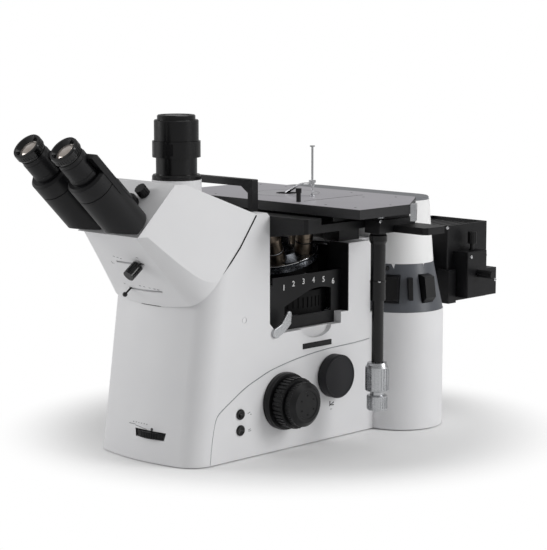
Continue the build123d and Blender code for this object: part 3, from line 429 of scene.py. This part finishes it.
def seam_height(y):
    """The seam's height at a distance from the stage's centre, along the list of its corners."""
    for (rear_y, rear_z), (near_y, near_z) in zip(seam, seam[1:]):
        if y >= near_y:
            return near_z + (rear_z - near_z) * (y - near_y) / (rear_y - near_y)
    return seam[-1][1]


def seam_edge(start, direction, height):
    """The body surface just below the seam, lifted level with the seam and half a millimetre out."""
    point, _ = hit("body_housing", start - Vector((0, 0, SEAM_LIP * MM)), direction)
    return Vector((point.x, point.y, height * MM)) - SEAM_STANDOFF * MM * direction


def side_seam_point(side, y):
    height = seam_height(y)
    return seam_edge(spot(side * SIDE_START, y, height), Vector((-side, 0, 0)), height)


def front_seam_point(x):
    """A point on the front: its height and its distance depend on each other and settle in a few rounds."""
    height = lowest_seam
    for _ in range(SETTLING_ROUNDS):
        point = seam_edge(spot(x, FRONT_START, height), Vector((0, 1, 0)), height)
        height = max(seam_height((point.y - SHIFT.y) / MM), lowest_seam)
    return point


side_seam = range(-152, -198, -4)
front_seam = [92, 90.5, 88, 85, 81, 76, 70, 62, 52, 40, 26, 13, 0]
seam_shade_points = [side_seam_point(1, y) for y in side_seam]
seam_shade_points += [front_seam_point(x) for x in front_seam]
seam_shade_points += [front_seam_point(-x) for x in front_seam[-2::-1]]
seam_shade_points += [side_seam_point(-1, y) for y in reversed(side_seam)]
tube("head_seam_painted_shade", seam_shade_points, SEAM_BEAD, painted_black_shade, "frame")

# painted shade in the moulded groove along both sides: (distance along Y, height) pairs
GROOVE_X, GROOVE_BEAD = 92.35, 0.7
groove = [(-233.3, 2.6), (-232, 15.8), (-229.3, 34.4), (-225.8, 50.3), (-221.4, 61), (-212.7, 68.5),
          (-198.7, 76.6), (-181.2, 86.7), (-163.4, 95), (-145.5, 101.4), (-127.4, 107.3), (-109.2, 111.2),
          (-90.7, 114.5), (-53.2, 119.4), (-14.9, 122.3), (24.2, 123.2), (62, 125.6)]
for side, side_name in ((1, "right"), (-1, "left")):
    groove_points = [spot(side * GROOVE_X, y, z) for y, z in groove]
    tube("groove_" + side_name, groove_points, GROOVE_BEAD, groove_shade, "frame")

# plain numbers of the cube positions on the plate, in the typeface that Blender has built in
DIGIT_HEIGHT = 7.2
HEIGHT_OF_TYPE = 0.7
DIGIT_BOLDNESS = 0.12
digit_places = [(-89.2, 208.7), (-71.4, 212.0), (-52.6, 213.2), (-33.7, 213.2), (-14.5, 212.2),
                (3.9, 208.0)]
for number, (y, z) in enumerate(digit_places, start=1):
    face, outward = hit("number_plate", spot(SIDE_START, y, z), Vector((-1, 0, 0)))
    letters = bpy.data.curves.new("position_number_" + str(number), "FONT")
    letters.body = str(number)
    letters.size = DIGIT_HEIGHT * MM / HEIGHT_OF_TYPE
    letters.align_x = "CENTER"
    letters.align_y = "CENTER"
    letters.extrude = PRINT_DEPTH * MM
    letters.offset = DIGIT_BOLDNESS * MM
    add_piece("position_number_" + str(number), letters, white_print, "frame", upright(face, outward))

# generic marks beside the controls, at their pixels in the photograph: bars, dots and arcs, no words
marks = {
    "upper_button_mark": dict(node="body_housing", pixel=(249.0, 412.8), ink=grey_print,
                              outlines=[bar(0, 0, 4.4, 0.9, 0.3), disc(3.4, -2.4, 0.8)]),
    "lower_button_mark": dict(node="body_housing", pixel=(249.4, 430.0), ink=grey_print,
                              outlines=[bar(0, 0.8, 4.4, 0.9, 0.2), bar(0.6, -1.2, 4.8, 0.9)]),
    "port_mark": dict(node="body_housing", pixel=(331.5, 403.8), ink=dark_print,
                      outlines=[bar(0, 0, 9.0, 1.5, 0.45), bar(-3.2, 1.8, 1.8, 5.0),
                                bar(2.2, -1.6, 5.0, 1.3)]),
    "port_mark_line": dict(node="body_housing", pixel=(331.0, 409.0), ink=grey_print,
                           outlines=[bar(0, 0, 4.0, 0.7)]),
    "lamp_wheel_arc": dict(node="body_housing", pixel=(138.5, 426.5), ink=grey_print,
                           outlines=[bar(-12, 2.2, 12, 0.7), bar(0, 0.6, 12, 0.7, -0.1),
                                     bar(11, -0.8, 9, 0.7, -0.1)]),
    "lamp_wheel_scale": dict(node="body_housing", pixel=(141.0, 423.0), ink=grey_print,
                             outlines=[bar(x, 0, 1.6, 1.0) for x in (-14, -9, -4, 1, 6, 11)]),
    "lamp_wheel_dot": dict(node="body_housing", pixel=(151.8, 429.6), ink=dark_print,
                           outlines=[disc(0, 0, 2.1)]),
    "upper_slot_marks": dict(node="head_cover", pixel=(116.0, 257.5), ink=grey_print,
                             outlines=[bar(-3, 1.6, 3.4, 0.8, -0.2), bar(3.4, 0.6, 3.4, 0.8, -0.2),
                                       bar(9, -0.8, 2.6, 0.8)]),
    "upper_slot_side": dict(node="head_cover", pixel=(112.0, 262.0), ink=grey_print,
                            outlines=[bar(0, 0, 0.8, 4.0), bar(2.0, -1.6, 2.4, 0.8, -0.5)]),
    "upper_slot_end": dict(node="head_cover", pixel=(137.0, 257.8), ink=grey_print,
                           outlines=[bar(0, 0, 3.6, 0.8, -0.2)]),
    "lower_slot_marks": dict(node="head_cover", pixel=(124.5, 283.3), ink=grey_print,
                             outlines=[bar(0, 0, 3.0, 0.9, -0.2)]),
    "lower_slot_scale": dict(node="head_cover", pixel=(146.0, 287.2), ink=grey_print,
                             outlines=[bar(x, -0.10 * x, 3.2, 0.8, -0.1) for x in (-10, -3, 6, 14, 20)]),
}


def pointer(lean):
    """Outline of a small pennant whose tip points down, moved sideways by the lean."""
    return [(-2.6, 3.0), (2.4, 3.0), (0.8 + lean * 4, 0.2), (lean * 6, -3.4), (-0.6, -0.4)]


# white pointers on the grey band
marks["aperture_pointer"] = dict(node="column_band", pixel=(393.2, 266.3), ink=white_print,
                                 outlines=[pointer(0.2)])
marks["field_pointer"] = dict(node="column_band", pixel=(423.8, 264.3), ink=white_print,
                              outlines=[pointer(-0.3)])
for mark_name, mark in marks.items():
    point, normal = seen(mark["node"], mark["pixel"])
    printed(mark_name, upright(point, normal), mark["outlines"], mark["ink"], "frame")

# black blind screw beside them on the band
BLIND_SCREW_PIXEL = (387.0, 268.2)
BLIND_SCREW_PROFILE = [(3.4, -0.6), (3.4, 0.25), (2.8, 0.5), (2.4, 0.2), (0.3, 0.1)]
point, normal = seen("column_band", BLIND_SCREW_PIXEL)
lathe("band_blind_screw", upright(point, normal), BLIND_SCREW_PROFILE, gloss_black, "frame")


def screw(name, node, pixel, radius, body):
    """Pan-head screw with a bar of painted shade for its driver slot, seated on the surface that the
    photograph shows it on.
    """
    point, normal = seen(node, pixel)
    place = upright(point, normal)
    head = [(radius, -0.4), (radius, 0.5), (radius * 0.86, 1.0), (radius * 0.4, 1.2)]
    lathe(name, place, head, screw_steel, body, 24)
    lifted = place @ Matrix.Translation((0, 0, 1.15 * MM))
    printed(name + "_slot", lifted, [bar(0, 0, radius * 1.4, radius * 0.3)], painted_black_shade, body)


screw("lamp_screw_top", "lamp_house", (447.5, 228.0), 2.2, "frame")
screw("lamp_screw_rim", "lamp_house", (485.5, 255.0), 2.4, "frame")
screw("lamp_screw_low", "lamp_house", (470.0, 296.0), 2.0, "frame")
screw("adjuster_screw_upper", "lamp_adjuster", (471.5, 257.0), 2.4, "frame")
screw("adjuster_screw_lower", "lamp_adjuster", (495.0, 279.5), 2.4, "frame")
screw("drive_collar_screw", "drive_tube", (379.3, 281.5), 2.0, "stage_y")
screw("drive_arm_pin", "drive_arm", (380.5, 221.5), 2.4, "stage_y")

# bright ring round the nosepiece, and a band and a chrome rim on each objective, whose length and
# nose radius are given in millimetres
TURRET_TILT = math.radians(15)
SEAT_RADIUS, SEAT_HEIGHT, OPTICAL_Y = 34.0, 250.0, 20.0
RING_PROFILE = [(48.1, -5.6), (50.2, -5.6), (50.2, -3.4), (48.1, -2.6)]
LONG_OBJECTIVE, SHORT_OBJECTIVE = (52, 7), (46, 8)
OBJECTIVE_STEPS = 32
band_profile = square_profile(11.9, 12.25, 15, 17)
band_finishes = (chrome, gloss_black, white_print, chrome, gloss_black)
turret_frame = Matrix.Rotation(TURRET_TILT, 4, "X")
turret_frame.translation = spot(0, OPTICAL_Y - SEAT_RADIUS * math.cos(TURRET_TILT),
                                SEAT_HEIGHT - SEAT_RADIUS * math.sin(TURRET_TILT))
ring_piece("turret_index_ring", turret_frame, RING_PROFILE, chrome, "turret")
for index, band_finish in enumerate(band_finishes):
    turn = Matrix.Rotation(math.tau * index / len(band_finishes), 4, "Z")
    seat_frame = (turret_frame @ turn @ Matrix.Translation((0, SEAT_RADIUS * MM, 0)) @
                  Matrix.Rotation(-TURRET_TILT, 4, "X"))
    length, nose = LONG_OBJECTIVE if index % 2 == 0 else SHORT_OBJECTIVE
    rim_profile = square_profile(nose - 1.2, nose + 0.15, length - 0.6, length + 0.2)
    number = str(index + 1)
    ring_piece("objective_band_" + number, seat_frame, band_profile, band_finish, "turret", OBJECTIVE_STEPS)
    ring_piece("objective_rim_" + number, seat_frame, rim_profile, chrome, "turret", OBJECTIVE_STEPS)

# painted shade: black in the gap around the stage insert, and on the wall and slope of its hole
stage_centre = Matrix.Translation(spot(0, 0, 0))
gap_profile = square_profile(42.9, 43.35, STAGE_TOP - 0.3, STAGE_TOP + 0.06)
wall_profile = square_profile(9.6, 9.98, STAGE_TOP - 2.9, STAGE_TOP - 1.6)
slope_profile = [(10.2, STAGE_TOP - 1.6), (14.9, STAGE_TOP - 0.1), (14.9, STAGE_TOP + 0.05),
                 (10.2, STAGE_TOP - 1.4)]
ring_piece("insert_gap_painted_shade", stage_centre, gap_profile, painted_black_shade, "stage_x")
ring_piece("insert_hole_wall_painted_shade", stage_centre, wall_profile, painted_black_shade, "stage_x")
ring_piece("insert_hole_edge_painted_shade", stage_centre, slope_profile, painted_black_shade, "stage_x")

# bright steel gib along the top of the nosepiece slide, seen past the objectives
gib_frame = upright(spot(22.5, 39.7, 250.2), Vector((0, -1, 0)))
printed("nosepiece_slide_gib", gib_frame, [bar(0, 0, 31, 2.4)], screw_steel, "nosepiece", depth=1.08)

# floor: pale sheet that turns into plain white away from the object, for the camera alone
FLOOR_CORNERS = ((-6, -6, 0), (6, -6, 0), (6, 8, 0), (-6, 8, 0))
FADE_START, FADE_END = 0.24, 0.40
floor_mesh = bpy.data.meshes.new("floor")
floor_builder = bmesh.new()
floor_builder.faces.new([floor_builder.verts.new(corner) for corner in FLOOR_CORNERS])
floor_builder.to_mesh(floor_mesh)
floor_builder.free()
floor = bpy.data.objects.new("floor", floor_mesh)
bpy.context.scene.collection.objects.link(floor)
floor_material, tree, shader, output, place = start_material("studio_floor", {"Roughness": 0.7})
shader.inputs["Base Color"].default_value = srgb("f6f6f6")
centred = add_node(tree, "ShaderNodeMapping", {"Location": tuple(-SHIFT)},
                   {"Vector": place.outputs["Object"]})
distance = add_node(tree, "ShaderNodeVectorMath", links={0: centred.outputs["Vector"]},
                    attributes={"operation": "LENGTH"})
fade = add_node(tree, "ShaderNodeMapRange", {"From Min": FADE_START, "From Max": FADE_END},
                {"Value": distance.outputs["Value"]}, {"interpolation_type": "SMOOTHSTEP"})
floor_path = add_node(tree, "ShaderNodeLightPath")
amount = times(tree, fade.outputs["Result"], floor_path.outputs["Is Camera Ray"])
white = add_node(tree, "ShaderNodeEmission", {"Color": (1, 1, 1, 1), "Strength": 1.0})
floor_choice = add_node(tree, "ShaderNodeMixShader",
                        links={0: amount, 1: shader.outputs["BSDF"], 2: white.outputs["Emission"]})
tree.links.new(floor_choice.outputs["Shader"], output.inputs["Surface"])
floor_mesh.materials.append(floor_material)

# world: white where the camera looks past the floor, softer as light
AMBIENT = 0.4
world = bpy.data.worlds.new("studio")
bpy.context.scene.world = world
world.use_nodes = True
world_tree = world.node_tree
world_tree.nodes.clear()
path = add_node(world_tree, "ShaderNodeLightPath")
ambient = add_node(world_tree, "ShaderNodeBackground", {"Color": (1, 1, 1, 1), "Strength": AMBIENT})
backdrop = add_node(world_tree, "ShaderNodeBackground", {"Color": (1, 1, 1, 1), "Strength": 1.0})
choice = add_node(world_tree, "ShaderNodeMixShader",
                  links={0: path.outputs["Is Camera Ray"], 1: ambient.outputs["Background"],
                         2: backdrop.outputs["Background"]})
add_node(world_tree, "ShaderNodeOutputWorld", links={"Surface": choice.outputs["Shader"]})

LIGHT_TARGET = Vector((0.0, -0.05, 0.2))


def softbox(name, place, size, power):
    """Rectangular light that looks at the object's middle; place and size in metres, power in watts."""
    light = bpy.data.lights.new(name, "AREA")
    light.shape = "RECTANGLE"
    light.size, light.size_y = size
    light.energy = power
    lamp = bpy.data.objects.new(name, light)
    lamp.location = Vector(place) + SHIFT
    lamp.rotation_euler = (LIGHT_TARGET - Vector(place)).to_track_quat("-Z", "Y").to_euler()
    bpy.context.scene.collection.objects.link(lamp)


softbox("key_light", (2.0, 0.9, 1.2), (1.0, 1.2), 25)
softbox("front_light", (-2.0, -1.7, 1.0), (1.2, 1.2), 22)
softbox("top_light", (0.0, 0.3, 2.2), (1.6, 1.6), 8)
